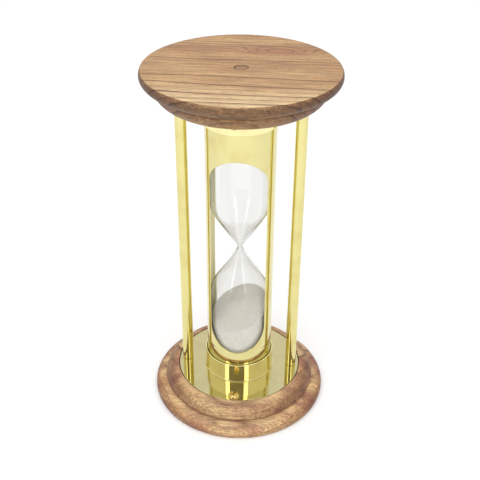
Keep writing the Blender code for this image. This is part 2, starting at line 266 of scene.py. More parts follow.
class NodeDesk:
    """Places nodes in one tree and joins their sockets."""

    def __init__(self, tree: bpy.types.NodeTree) -> None:
        """Keep the tree that nodes are placed in."""
        self.tree = tree

    def add(self, kind: str, **settings: object) -> Node:
        """Place a node and set its properties."""
        node = self.tree.nodes.new(kind)
        for name, value in settings.items():
            setattr(node, name, value)
        return node

    def feed(self, socket: Socket, value: Feed) -> None:
        """Join a socket to another one, or set it to a plain value."""
        if isinstance(value, Socket):
            self.tree.links.new(value, socket)
        elif isinstance(value, tuple) and len(value) == 3 and socket.type == "RGBA":
            socket.default_value = (*value, 1.0)
        else:
            socket.default_value = value

    def fill(self, node: Node, **feeds: Feed) -> None:
        """Feed a node's inputs by name; an underscore stands for a space."""
        for name, value in feeds.items():
            self.feed(node.inputs[name.replace("_", " ")], value)

    def run(self, kind: str, feeds: dict, **settings: object) -> Socket:
        """Place a node, feed its inputs by name or number, and return its first output."""
        node = self.add(kind, **settings)
        for name, value in feeds.items():
            self.feed(node.inputs[name], value)
        return node.outputs[0]

    def math(self, operation: str, *values: Feed) -> Socket:
        """Return the result of one math operation."""
        return self.run("ShaderNodeMath", dict(enumerate(values)), operation=operation)

    def plus(self, one: Feed, other: Feed) -> Socket:
        """Return a sum."""
        return self.math("ADD", one, other)

    def minus(self, one: Feed, other: Feed) -> Socket:
        """Return a difference."""
        return self.math("SUBTRACT", one, other)

    def times(self, one: Feed, other: Feed) -> Socket:
        """Return a product."""
        return self.math("MULTIPLY", one, other)

    def vector(self, operation: str, *values: Feed) -> Socket:
        """Return the vector that one vector operation gives."""
        return self.run("ShaderNodeVectorMath", dict(enumerate(values)), operation=operation)

    def length(self, vector: Feed) -> Socket:
        """Return a vector's length."""
        return self.vector("LENGTH", vector).node.outputs["Value"]

    def parts(self, vector: Feed) -> Sequence[Socket]:
        """Return a vector's three numbers."""
        return self.run("ShaderNodeSeparateXYZ", {0: vector}).node.outputs

    def joined(self, x: Feed = 0.0, y: Feed = 0.0, z: Feed = 0.0) -> Socket:
        """Return a vector made of three numbers."""
        return self.run("ShaderNodeCombineXYZ", {0: x, 1: y, 2: z})

    def stretched(self, vector: Feed, scale: Place, place: Place = (0.0, 0.0, 0.0)) -> Socket:
        """Return coordinates scaled along each axis, then moved."""
        return self.run("ShaderNodeMapping", {"Vector": vector, "Scale": scale, "Location": place})

    def noise(self, vector: Feed, scale: Feed, detail: float = 2.0) -> Socket:
        """Return smooth noise between 0 and 1."""
        return self.run("ShaderNodeTexNoise", {"Vector": vector, "Scale": scale, "Detail": detail})

    def spread(self, value: Feed, low: Feed, high: Feed, out_low: Feed = 0.0, out_high: Feed = 1.0) -> Socket:
        """Return a value carried smoothly from one range to another, held at its ends."""
        feeds = {"Value": value, "From Min": low, "From Max": high, "To Min": out_low, "To Max": out_high}
        return self.run("ShaderNodeMapRange", feeds, interpolation_type="SMOOTHSTEP")

    def blend(self, share: Feed, low: Feed, high: Feed, way: str = "MIX") -> Socket:
        """Return one colour blended over another."""
        feeds = {0: share, 6: low, 7: high}
        return self.run("ShaderNodeMix", feeds, data_type="RGBA", blend_type=way).node.outputs[2]


class GroupDesk(NodeDesk):
    """A desk for a shader node group that gives values."""

    def __init__(self, name: str, inputs: dict, outputs: Sequence[str]) -> None:
        """Start the group.

        Args:
            name: The group's name.
            inputs: Each input's name and default; None makes a vector input.
            outputs: The names of its value outputs.
        """
        tree = bpy.data.node_groups.new(name, "ShaderNodeTree")
        super().__init__(tree)
        for label, default in inputs.items():
            kind = "NodeSocketVector" if default is None else "NodeSocketFloat"
            socket = tree.interface.new_socket(name=label, in_out="INPUT", socket_type=kind)
            if default is not None:
                socket.default_value = default
        for label in outputs:
            tree.interface.new_socket(name=label, in_out="OUTPUT", socket_type="NodeSocketFloat")
        self.given = {socket.name: socket for socket in self.add("NodeGroupInput").outputs if socket.name}
        self.leave = self.add("NodeGroupOutput")


@dataclass(frozen=True)
class WoodNoise:
    """One noise in the wood: its cells per millimetre along and across the grain, and its shape."""

    along: float
    across: float
    offset: Place = (0.0, 0.0, 0.0)
    detail: float = 1.0
    limits: Optional[Point] = None

    def value(self, desk: NodeDesk, place: Feed) -> Socket:
        """Return the noise at a place in millimetres, spread between its limits if it has them."""
        field = desk.stretched(place, (self.along, self.across, self.across), self.offset)
        value = desk.noise(field, 1.0, self.detail)
        return desk.spread(value, *self.limits) if self.limits else value


class SharedEffects:
    """Node groups that several finishes use, each built once."""

    WOOD_NOISES = {
        "Streaks": WoodNoise(0.018, 0.085, (7.0, 0.0, 3.0), 4.0),
        "Fibres": WoodNoise(0.09, 1.7, detail=3.0),
        "Pores": WoodNoise(0.30, 2.2, (31.0, 5.0, 9.0), 1.0, (0.57, 0.70)),
        "Patches": WoodNoise(0.035, 0.12, (3.0, 11.0, 1.0), 5.0, (0.44, 0.68)),
        "Speckle": WoodNoise(0.55, 1.0, (2.0, 5.0, 8.0), 3.0, (0.35, 0.65)),
    }
    RIPPLE_MM = 1.6
    LATE_WOOD = 5.0

    def __init__(self) -> None:
        """Build every group."""
        self.grain = self._solid_grain()
        self.handling = self._handling()
        self.turning = self._turning()
        self.granules = self._granules()

    def _solid_grain(self) -> bpy.types.NodeTree:
        """Build wood grain that runs through the solid along X, from growth rings about a far pith."""
        rings = {"Ring Spacing": 3.4, "Wander": 9.0, "Pith Depth": 62.0, "Pith Side": 20.0}
        inputs = {"Vector": None, "Swell": 0.0, **rings}
        desk = GroupDesk("solid_grain", inputs, ["Rings", *self.WOOD_NOISES])
        given = desk.given
        place = desk.vector("SCALE", given["Vector"])
        desk.fill(place.node, Scale=1.0 / MM)
        drift = WoodNoise(0.010, 0.045, detail=2.0).value(desk, place)
        ripple = WoodNoise(0.045, 0.30).value(desk, place)
        sway = desk.times(desk.minus(drift, 0.5), given["Wander"])
        sway = desk.plus(sway, desk.times(desk.minus(ripple, 0.5), self.RIPPLE_MM))
        _, across, up = desk.parts(place)
        side = desk.plus(desk.plus(across, sway), given["Pith Side"])
        reach = desk.length(desk.joined(side, desk.plus(up, given["Pith Depth"])))
        phase = desk.math("DIVIDE", desk.plus(reach, given["Swell"]), given["Ring Spacing"])
        within = desk.math("FRACT", phase)
        late = desk.times(desk.math("POWER", within, self.LATE_WOOD), desk.spread(within, 1.0, 0.93))
        number = desk.math("FLOOR", phase)
        count = desk.run("ShaderNodeTexWhiteNoise", {"W": number}, noise_dimensions="1D")
        desk.fill(desk.leave, Rings=desk.times(late, desk.spread(count, 0.0, 1.0, 0.25, 1.9)))
        desk.fill(desk.leave, **{name: noise.value(desk, place) for name, noise in self.WOOD_NOISES.items()})
        return desk.tree

    @staticmethod
    def _handling() -> bpy.types.NodeTree:
        """Build the cloudy film that hands and a polishing cloth leave on a bright surface."""
        desk = GroupDesk("handling", {"Vector": None, "Scale": 90.0}, ["Film", "Wipe"])
        vector, scale = desk.given["Vector"], desk.given["Scale"]
        wiped = desk.stretched(vector, (1.0, 1.0, 0.25))
        film = desk.spread(desk.noise(vector, scale, 4.0), 0.42, 0.78)
        desk.fill(desk.leave, Film=film, Wipe=desk.noise(wiped, desk.times(scale, 5.0), 3.0))
        return desk.tree

    @staticmethod
    def _turning() -> bpy.types.NodeTree:
        """Build the fine rings that a lathe tool leaves about the timer's axis."""
        desk = GroupDesk("turning", {"Vector": None, "Rings per Metre": 2500.0}, ["Height"])
        vector = desk.given["Vector"]
        flat = desk.vector("MULTIPLY", vector, (1.0, 1.0, 0.0))
        line = desk.joined(desk.plus(desk.length(flat), desk.parts(vector)[2]))
        desk.fill(desk.leave, Height=desk.noise(line, desk.given["Rings per Metre"], 2.0))
        return desk.tree

    @staticmethod
    def _granules() -> bpy.types.NodeTree:
        """Build packed grains: a shade for each grain and the dip between them."""
        desk = GroupDesk("granules", {"Vector": None, "Scale": 3000.0}, ["Shade", "Dome"])
        cells = desk.run("ShaderNodeTexVoronoi", desk.given).node.outputs
        shades = desk.run("ShaderNodeSeparateColor", {0: cells["Color"]})
        desk.fill(desk.leave, Shade=shades, Dome=desk.spread(cells["Distance"], 0.0, 0.75, 1.0, 0.0))
        return desk.tree


# ---- finishes


class MaterialDesk(NodeDesk):
    """A desk for one material, with its Principled shader, its Object coordinates and the shared effects."""

    def __init__(self, name: str, effects: SharedEffects) -> None:
        """Make an empty material."""
        self.material = bpy.data.materials.new(name)
        self.material.use_nodes = True
        super().__init__(self.material.node_tree)
        self.effects = effects
        self.shader = self.tree.nodes["Principled BSDF"]
        self.place = self.add("ShaderNodeTexCoord").outputs["Object"]

    def use(self, group: bpy.types.NodeTree, **feeds: Feed) -> Sequence[Socket]:
        """Return a shared effect's outputs, at the material's own place unless another one is fed."""
        node = self.add("ShaderNodeGroup", node_tree=group)
        self.fill(node, **{"Vector": self.place, **feeds})
        return node.outputs

    def paint(self, **feeds: Feed) -> None:
        """Feed the shader's inputs by name."""
        self.fill(self.shader, **feeds)

    def relief(self, height: Feed, depth: float, strength: float = 1.0) -> None:
        """Give the shader fine relief of a depth in metres."""
        feeds = {"Height": height, "Distance": depth, "Strength": strength}
        self.paint(Normal=self.run("ShaderNodeBump", feeds))

    def tool_lines(self, rings_per_metre: float, depth: float) -> None:
        """Give the shader the fine rings of a lathe tool."""
        self.relief(self.use(self.effects.turning, Rings_per_Metre=rings_per_metre)["Height"], depth)

    def swap(self, ray: str, kind: str, colour: Colour) -> None:
        """Show another shader of one colour to one kind of ray."""
        other = self.run(kind, {"Color": colour})
        asked = self.add("ShaderNodeLightPath").outputs[ray]
        mixed = self.run("ShaderNodeMixShader", {0: asked, 1: self.shader.outputs[0], 2: other})
        self.fill(self.tree.nodes["Material Output"], Surface=mixed)


class Finish:
    """The look of one material."""

    name: str

    def material(self, effects: SharedEffects) -> bpy.types.Material:
        """Make the material.

        Args:
            effects: The shared node groups.

        Returns:
            The new material.
        """
        desk = MaterialDesk(self.name, effects)
        self.dress(desk)
        return desk.material

    def dress(self, desk: MaterialDesk) -> None:
        """Feed the desk's shader, as each finish does in its own way."""
        raise NotImplementedError


@dataclass(frozen=True)
class TurnedWood(Finish):
    """Brown hardwood with grain along X, darkest on its end grain, with painted shading on its turned side
    and in a band at one level.
    """

    name: str
    pale: Colour = (0.52, 0.315, 0.140)
    warm: Colour = (0.39, 0.200, 0.083)
    line: Colour = (0.15, 0.060, 0.022)
    stain: Colour = (0.33, 0.125, 0.055)
    sapwood: Colour = (0.68, 0.48, 0.255)
    # Painted shade: the turned side is darkened as if lit from above; the base's values lighten it instead.
    painted_side_shading: Colour = (0.62, 0.51, 0.43)
    end_tint: Colour = (0.72, 0.62, 0.60)
    board_shift: Place = (0.0, 0.0, 0.0)
    knot_place: Place = (16.0 * MM, 21.0 * MM, 180.0 * MM)
    knot_reach: Place = (25.0 * MM, 9.0 * MM, 14.0 * MM)
    knot_swell: float = 13.0
    sapwood_edge: float = -14.0 * MM
    sapwood_depth: float = 26.0 * MM
    ring_spacing: float = 3.1
    ring_share: float = 0.95
    pore_share: float = 0.5
    speckle_share: float = 0.42
    mottle: float = 0.25
    # Painted shading: a band about one level on the turned side, darkened round the top disc's bead,
    # lightened round the base's.
    painted_band_level: float = 176.0 * MM
    painted_band_reach: float = 4.2 * MM
    painted_band_shading: Colour = (0.60, 0.57, 0.56)
    roughness: float = 0.47
    line_spacing: float = 1800.0
    relief_depth: float = 0.06 * MM

    def dress(self, desk: MaterialDesk) -> None:
        """Feed the board's colour, its knot, rings and pores, then the painted shading of its turned side and
        band and the tint of its end grain.
        """
        normal = desk.parts(desk.add("ShaderNodeNewGeometry").outputs["Normal"])
        # side marks the turned side by the normal's tilt; it places the painted side shading and the side's
        # speckle.
        side = desk.spread(desk.math("ABSOLUTE", normal[2]), 0.98, 0.80)
        ends = desk.spread(desk.math("ABSOLUTE", normal[0]), 0.15, 0.85)
        _, depth, level = desk.parts(desk.place)
        # The painted band of shading: on the turned side, within a reach of one level.
        from_painted_band = desk.math("ABSOLUTE", desk.minus(level, self.painted_band_level))
        painted_band = desk.times(desk.spread(from_painted_band, self.painted_band_reach, self.painted_band_reach / 2.0), side)
        offset = desk.vector("DIVIDE", desk.vector("SUBTRACT", desk.place, self.knot_place), self.knot_reach)
        knot = desk.spread(desk.length(offset), 1.0, 0.0)
        board = desk.stretched(desk.place, (1.0, 1.0, 1.0), self.board_shift)
        swell = desk.times(knot, self.knot_swell)
        grain = desk.use(desk.effects.grain, Vector=board, Swell=swell, Ring_Spacing=self.ring_spacing)
        fibres, pores = grain["Fibres"], grain["Pores"]
        colour = desk.blend(desk.spread(grain["Streaks"], 0.32, 0.66), self.warm, self.pale)
        sapwood = desk.spread(depth, self.sapwood_edge, self.sapwood_edge - self.sapwood_depth)
        colour = desk.blend(sapwood, colour, self.sapwood)
        fine = desk.spread(fibres, 0.28, 0.72, 0.66, 1.28)
        grey = desk.run("ShaderNodeCombineColor", {0: fine, 1: fine, 2: fine})
        colour = desk.blend(1.0, colour, grey, "MULTIPLY")
        reddened = desk.times(knot, desk.spread(fibres, 0.25, 0.75, 1.0, 0.45))
        stained = desk.math("MAXIMUM", reddened, desk.times(grain["Patches"], self.mottle))
        colour = desk.blend(stained, colour, self.stain)
        speckle = desk.times(desk.minus(1.0, grain["Speckle"]), side)
        marks = ((grain["Rings"], self.ring_share), (pores, self.pore_share), (speckle, self.speckle_share))
        for mask, share in marks:
            colour = desk.blend(desk.times(mask, share), colour, self.line)
        # Painted shading of the turned side and of the band at one level, then the end grain's own darker
        # tint.
        for mask, tint in ((side, self.painted_side_shading), (painted_band, self.painted_band_shading), (ends, self.end_tint)):
            colour = desk.blend(mask, colour, tint, "MULTIPLY")
        rough = desk.spread(fibres, 0.2, 0.8, self.roughness - 0.07, self.roughness + 0.12)
        desk.paint(Base_Color=colour, Roughness=rough)
        lines = desk.use(desk.effects.turning, Rings_per_Metre=self.line_spacing)["Height"]
        height = desk.minus(desk.times(fibres, 0.8), pores)
        height = desk.plus(height, desk.times(desk.times(lines, side), 0.8))
        desk.relief(height, self.relief_depth, 0.8)


@dataclass(frozen=True)
class Brass(Finish):
    """Polished brass with a faint film, some darker tarnish and fine tool lines."""

    name: str
    bright: Colour
    tarnish: Colour
    roughness: float = 0.035
    film_roughness: float = 0.05
    tarnish_share: float = 0.45
    line_depth: float = 0.0006 * MM
    rings_per_metre: float = 2500.0

    def dress(self, desk: MaterialDesk) -> None:
        """Feed the metal's colour, tarnished where the film is thick, and its polish."""
        handled = desk.use(desk.effects.handling)
        share = desk.times(handled["Film"], self.tarnish_share)
        film = desk.times(handled["Film"], handled["Wipe"])
        rough = desk.math("MULTIPLY_ADD", film, self.film_roughness, self.roughness)
        desk.paint(Metallic=1.0, Base_Color=desk.blend(share, self.bright, self.tarnish), Roughness=rough)
        desk.tool_lines(self.rings_per_metre, self.line_depth)


@dataclass(frozen=True)
class TubeBrass(Brass):
    """Tube brass: polished outside, dull and greyer in its bore, which no cloth reached."""

    bore: Colour = (0.56, 0.51, 0.27)
    bore_roughness: float = 0.32
    bore_radius: float = 16.2 * MM
    bore_edge: float = 0.2 * MM

    def dress(self, desk: MaterialDesk) -> None:
        """Feed the polished brass, then dull its bore."""
        super().dress(desk)
        reach = desk.length(desk.vector("MULTIPLY", desk.place, (1.0, 1.0, 0.0)))
        inside = desk.spread(reach, self.bore_radius, self.bore_radius - self.bore_edge)
        polished = desk.shader.inputs["Base Color"].links[0].from_socket
        smooth = desk.shader.inputs["Roughness"].links[0].from_socket
        rough = desk.math("MAXIMUM", smooth, desk.times(inside, self.bore_roughness))
        desk.paint(Base_Color=desk.blend(inside, polished, self.bore), Roughness=rough)


@dataclass(frozen=True)
class MachinedSteel(Finish):
    """Plain steel with fine tool lines."""

    name: str
    bright: Colour = (0.56, 0.56, 0.55)
    dull: Colour = (0.36, 0.35, 0.34)
    roughness: float = 0.24

    def dress(self, desk: MaterialDesk) -> None:
        """Feed the steel's colour and polish."""
        handled = desk.use(desk.effects.handling, Scale=400.0)
        rough = desk.math("MULTIPLY_ADD", handled["Wipe"], 0.2, self.roughness)
        colour = desk.blend(handled["Film"], self.bright, self.dull)
        desk.paint(Metallic=1.0, Base_Color=colour, Roughness=rough)
        desk.tool_lines(6000.0, 0.004 * MM)


@dataclass(frozen=True)
class Cork(Finish):
    """Pressed cork: brown granules with darker ones among them."""

    name: str
    pale: Colour = (0.52, 0.34, 0.19)
    dark: Colour = (0.22, 0.115, 0.055)
    grains_per_metre: float = 900.0

    def dress(self, desk: MaterialDesk) -> None:
        """Feed the granules' colours and their relief."""
        grains = desk.use(desk.effects.granules, Scale=self.grains_per_metre)
        colour = desk.blend(desk.spread(grains["Shade"], 0.45, 0.95), self.pale, self.dark)
        desk.paint(Base_Color=colour, Roughness=desk.spread(grains["Dome"], 0.0, 1.0, 0.95, 0.8))
        desk.relief(grains["Dome"], 0.12 * MM)


@dataclass(frozen=True)
class PaleSand(Finish):
    """Fine pale sand: warm white grains, some of them grey or tan."""

    name: str
    pale: Colour = (0.96, 0.94, 0.89)
    tan: Colour = (0.87, 0.79, 0.66)
    layer_share: float = 0.22
    grains_per_metre: float = 2600.0

    def dress(self, desk: MaterialDesk) -> None:
        """Feed the grains' colours, their faint layers and their relief."""
        grains = desk.use(desk.effects.granules, Scale=self.grains_per_metre)
        colour = desk.blend(desk.spread(grains["Shade"], 0.35, 1.0), self.pale, self.tan)
        layers = desk.noise(desk.stretched(desk.place, (60.0, 60.0, 260.0)), 1.0, 3.0)
        colour = desk.blend(desk.spread(layers, 0.35, 0.75, 0.0, self.layer_share), colour, self.tan)
        desk.paint(Base_Color=colour, Roughness=desk.spread(grains["Shade"], 0.0, 1.0, 0.75, 0.98))
        desk.relief(grains["Dome"], 0.10 * MM)


@dataclass(frozen=True)
class BlownGlass(Finish):
    """Clear blown glass with a grey edge, a little dust and a slight ripple. Lamps shine through it."""

    name: str
    clear: Colour = (0.925, 0.926, 0.915)
    edge: Colour = (0.30, 0.31, 0.30)
    shadow: Colour = (0.96, 0.97, 0.96)
    refraction: float = 1.45
    thick_reach: float = 24.0 * MM

    def dress(self, desk: MaterialDesk) -> None:
        """Feed the glass's colour, greyer where it is seen edge on and thicker towards the neck."""
        vial = Span.of("glass_vial")
        level = desk.parts(desk.place)[2]
        from_neck = desk.math("ABSOLUTE", desk.minus(level, (vial.low + vial.high) / 2.0))
        thickness = desk.spread(from_neck, self.thick_reach, self.thick_reach / 2.0, 0.35, 1.0)
        facing = desk.run("ShaderNodeLayerWeight", {"Blend": 0.35}).node.outputs["Facing"]
        share = desk.times(desk.spread(facing, 0.45, 0.95), thickness)
        dust = desk.use(desk.effects.handling, Scale=120.0)["Film"]
        rough = desk.spread(dust, 0.0, 1.0, 0.0, 0.03)
        desk.paint(Transmission_Weight=1.0, IOR=self.refraction, Roughness=rough)
        desk.paint(Base_Color=desk.blend(share, self.clear, self.edge))
        desk.relief(desk.noise(desk.stretched(desk.place, (70.0, 70.0, 45.0)), 1.0, 1.0), 0.05 * MM)
        desk.swap("Is Shadow Ray", "ShaderNodeBsdfTransparent", self.shadow)


@dataclass(frozen=True)
class Card(Finish):
    """Matte card with faint fibres."""

    name: str
    colour: Colour
    fibre: Colour
    fibre_share: float
    fibre_scale: float
    roughness: float

    def dress(self, desk: MaterialDesk) -> None:
        """Feed the card's colour and its fibres."""
        wipe = desk.use(desk.effects.handling, Scale=self.fibre_scale)["Wipe"]
        colour = desk.blend(desk.times(wipe, self.fibre_share), self.colour, self.fibre)
        desk.paint(Base_Color=colour, Roughness=self.roughness)


@dataclass(frozen=True)
class StudioPaper(Card):
    """Paper for the floor. It throws less light back up at matte surfaces than it shows."""

    thrown: Colour = (0.85, 0.82, 0.77)
    glow: float = 0.06

    def dress(self, desk: MaterialDesk) -> None:
        """Feed the card's looks, then its glow."""
        super().dress(desk)
        desk.paint(Specular_IOR_Level=0.1, Emission_Color=(1.0, 1.0, 1.0), Emission_Strength=self.glow)
        desk.swap("Is Diffuse Ray", "ShaderNodeBsdfDiffuse", self.thrown)


class Palette:
    """Every material of the timer, made once."""

    def __init__(self, effects: SharedEffects) -> None:
        """Make the materials from the shared node groups."""
        gold = (0.60, 0.47, 0.17)
        base_board = TurnedWood(
            "turned_hardwood_base",
            pale=(0.80, 0.555, 0.275),
            warm=(0.50, 0.265, 0.118),
            stain=(0.30, 0.105, 0.080),
            # Painted light: the base's turned side is tinted a touch lighter and warmer.
            painted_side_shading=(1.03, 0.99, 0.93),
            end_tint=(0.50, 0.42, 0.39),
            mottle=0.80,
            # Painted light on the band round the base's bead.
            painted_band_level=4.2 * MM,
            painted_band_shading=(1.18, 1.17, 1.18),
            knot_place=(40.0 * MM, -19.0 * MM, 4.0 * MM),
            knot_reach=(14.0 * MM, 9.0 * MM, 10.0 * MM),
            sapwood_edge=-22.0 * MM,
        )
        top_board = TurnedWood("turned_hardwood_top", board_shift=(0.0, 42.0 * MM, -205.0 * MM))
        plug = TurnedWood("plug_hardwood", warm=(0.46, 0.265, 0.115), ring_spacing=1.7)
        plate = Brass("plate_brass_mirror", (0.69, 0.615, 0.335), (0.56, 0.49, 0.27), 0.05, 0.06)
        cup = Brass("cup_brass_mirror", (0.92, 0.84, 0.44), gold)
        rod = Brass("rod_brass_mirror", (0.75, 0.68, 0.30), gold)
        tube = TubeBrass("tube_brass_mirror", (0.73, 0.665, 0.31), gold, 0.03, 0.04)
        screw = Brass("screw_brass_machined", (0.72, 0.52, 0.17), gold, 0.16, 0.08)
        paper = StudioPaper("white_studio_paper", (0.90, 0.90, 0.90), (0.8, 0.8, 0.8), 0.04, 30.0, 0.9)
        card = Card("dark_card", (0.36, 0.34, 0.31), (0.2, 0.2, 0.2), 0.2, 20.0, 0.95)
        self.wood = {End.TOP: top_board.material(effects), End.BASE: base_board.material(effects)}
        self.plug, self.plate, self.cup = (finish.material(effects) for finish in (plug, plate, cup))
        self.rod, self.tube, self.screw = (finish.material(effects) for finish in (rod, tube, screw))
        self.paper, self.card = (finish.material(effects) for finish in (paper, card))
        self.steel = MachinedSteel("machined_steel").material(effects)
        self.cork = Cork("pressed_cork").material(effects)
        self.sand = PaleSand("pale_fine_sand").material(effects)
        self.glass = BlownGlass("clear_blown_glass").material(effects)


# ---- geometry node tools


class ShapeDesk(NodeDesk):
    """A desk for one geometry node tree with named inputs and one mesh output."""

    KINDS = {float: "NodeSocketFloat", int: "NodeSocketInt", bpy.types.Material: "NodeSocketMaterial"}

    def __init__(self, name: str, inputs: dict) -> None:
        """Start the tree.

        Args:
            name: The tree's name.
            inputs: Each named input's value: a float, an int or a material.
        """
        tree = bpy.data.node_groups.new(name, "GeometryNodeTree")
        super().__init__(tree)
        for way in ("INPUT", "OUTPUT"):
            tree.interface.new_socket(name="Geometry", in_out=way, socket_type="NodeSocketGeometry")
        for label, value in inputs.items():
            kind = self.KINDS[type(value)]
            socket = tree.interface.new_socket(name=label, in_out="INPUT", socket_type=kind)
            if not isinstance(value, bpy.types.Material):
                socket.default_value = value
        self.inputs = inputs
        self.given = {socket.name: socket for socket in self.add("NodeGroupInput").outputs if socket.name}

    @classmethod
    def sized(cls, name: str, assembly: object, material: bpy.types.Material, *sizes: str) -> "ShapeDesk":
        """Start a tree whose inputs are an assembly's sizes and a material."""
        inputs = {size.replace("_", " ").title(): getattr(assembly, size) for size in sizes}
        return cls(name, {**inputs, "Material": material})

    def end(self, copied: Socket, **feeds: Feed) -> None:
        """Copy a shape to every point, realize the copies, set their material and leave the tree."""
        feeds = {"Points": self.given["Geometry"], **feeds, "Instance": copied}
        copies = self.run("GeometryNodeInstanceOnPoints", feeds)
        real = self.run("GeometryNodeRealizeInstances", {0: copies})
        dressed = self.run("GeometryNodeSetMaterial", {"Geometry": real, "Material": self.given["Material"]})
        self.feed(self.add("NodeGroupOutput").inputs[0], dressed)

    def bake(self, name: str, seed_mesh: bpy.types.Mesh, sharp_degrees: float = 35.0) -> bpy.types.Object:
        """Run the tree on a mesh and keep the result as a plain mesh.

        Args:
            name: The new piece's name.
            seed_mesh: The mesh that the tree starts from.
            sharp_degrees: Edges that bend more than this stay crisp.

        Returns:
            The new piece, with no modifier.
        """
        piece = linked(name, seed_mesh)
        modifier = piece.modifiers.new(name + "_shape", "NODES")
        modifier.node_group = self.tree
        for item in self.tree.interface.items_tree:
            if item.item_type == "SOCKET" and item.in_out == "INPUT" and item.name in self.inputs:
                modifier[item.identifier] = self.inputs[item.name]
        graph = bpy.context.evaluated_depsgraph_get()
        baked = bpy.data.meshes.new_from_object(piece.evaluated_get(graph), depsgraph=graph)
        piece.modifiers.remove(modifier)
        piece.data = baked
        baked.name = name
        shade(baked, sharp_degrees)
        return piece


def points_mesh(name: str, places: Sequence[Place], turns: Sequence[Place]) -> bpy.types.Mesh:
    """Return a mesh of loose points, each with the rotation that its copy takes."""
    mesh = bpy.data.meshes.new(name)
    mesh.from_pydata(places, [], [])
    facing = mesh.attributes.new("facing", "FLOAT_VECTOR", "POINT")
    facing.data.foreach_set("vector", [number for turn in turns for number in turn])
    return mesh


# ---- sub-assemblies


@dataclass
class WoodEnd:
    """One turned disc with the plug that closes the hole in its outer face."""

    end: End
    face_radius: float = 44.25 * MM
    edge_angle: float = 55.0
    bead_depth: float = 2.3 * MM
    groove_radius: float = 37.8 * MM
    groove_depth: float = 6.9 * MM
    shoulder_radius: float = 39.4 * MM
    shoulder_centre: float = 30.6 * MM
    recess_radius: float = 32.3 * MM
    recess_depth: float = 12.7 * MM
    rim_round: float = 0.35 * MM
    hole_round: float = 0.15 * MM
    plug_radius: float = 3.0 * MM
    plug_round: float = 0.12 * MM
    plug_gap: float = 0.22 * MM
    plug_depth: float = 3.2 * MM
    segments: int = 288
    plug_segments: int = 64

    def outline(self) -> Outline:
        """Return the disc's outline, from the middle of its outer face to the middle of its recess."""
        cad = Span.of(self.end.value + "_disc")
        hole = self.plug_radius + self.plug_gap
        points = [(0.0, self.plug_depth + self.plug_gap), (hole, self.plug_depth + self.plug_gap)]
        points += arc((hole + self.hole_round, self.hole_round), self.hole_round, 180, 270, 3)
        start = math.radians(self.edge_angle)
        across = (cad.radius - self.face_radius) / (1.0 - math.cos(start))
        down = self.bead_depth / math.sin(start)
        edge = arc((cad.radius - across, self.bead_depth), (across, down), -self.edge_angle, 0, 12)
        points += [(self.face_radius - 0.15 * MM, 0.0), (edge[0][0] + 0.04 * MM, 0.05 * MM)] + edge[1:]
        bead = (cad.radius - self.groove_radius, self.groove_depth - self.bead_depth)
        points += arc((self.groove_radius, self.bead_depth), bead, 0, 90, 22)[1:-1]
        points += [(self.groove_radius + 0.12 * MM, self.groove_depth)]
        points += [(self.groove_radius - 0.1 * MM, self.groove_depth + 0.25 * MM)]
        points += [(self.shoulder_radius - 0.5 * MM, self.groove_depth + 0.35 * MM)]
        shoulder = (self.shoulder_radius - self.shoulder_centre, cad.high - cad.low - self.groove_depth)
        rim = self.recess_radius + self.rim_round
        stop = math.degrees(math.acos((rim - self.shoulder_centre) / shoulder[0]))
        points += arc((self.shoulder_centre, self.groove_depth), shoulder, 8, stop, 26)
        points += arc((rim, points[-1][1] - self.rim_round), self.rim_round, 100, 180, 5)
        points += [(self.recess_radius, self.recess_depth), (0.0, self.recess_depth)]
        return supported(points, 0.2 * MM)

    def build(self, palette: Palette) -> None:
        """Build and dress the disc and its plug."""
        name = self.end.value + "_disc"
        mesh = lathe(self.outline(), self.segments)
        disc = finished(name + "_turned", mesh, palette.wood[self.end], self.end)
        settle(disc, Body.FRAME, Slot.WOOD, name)
        outline = [(0.0, 0.0)]
        outline += arc((self.plug_radius - self.plug_round, self.plug_round), self.plug_round, -90, 0, 3)
        outline += [(self.plug_radius, self.plug_depth), (0.0, self.plug_depth)]
        name = self.end.value + "_plug"
        mesh = lathe(supported(outline, 0.1 * MM), self.plug_segments)
        plug = finished(name + "_turned", mesh, palette.plug, self.end)
        settle(plug, Body.FRAME, Slot.PLUG, name)


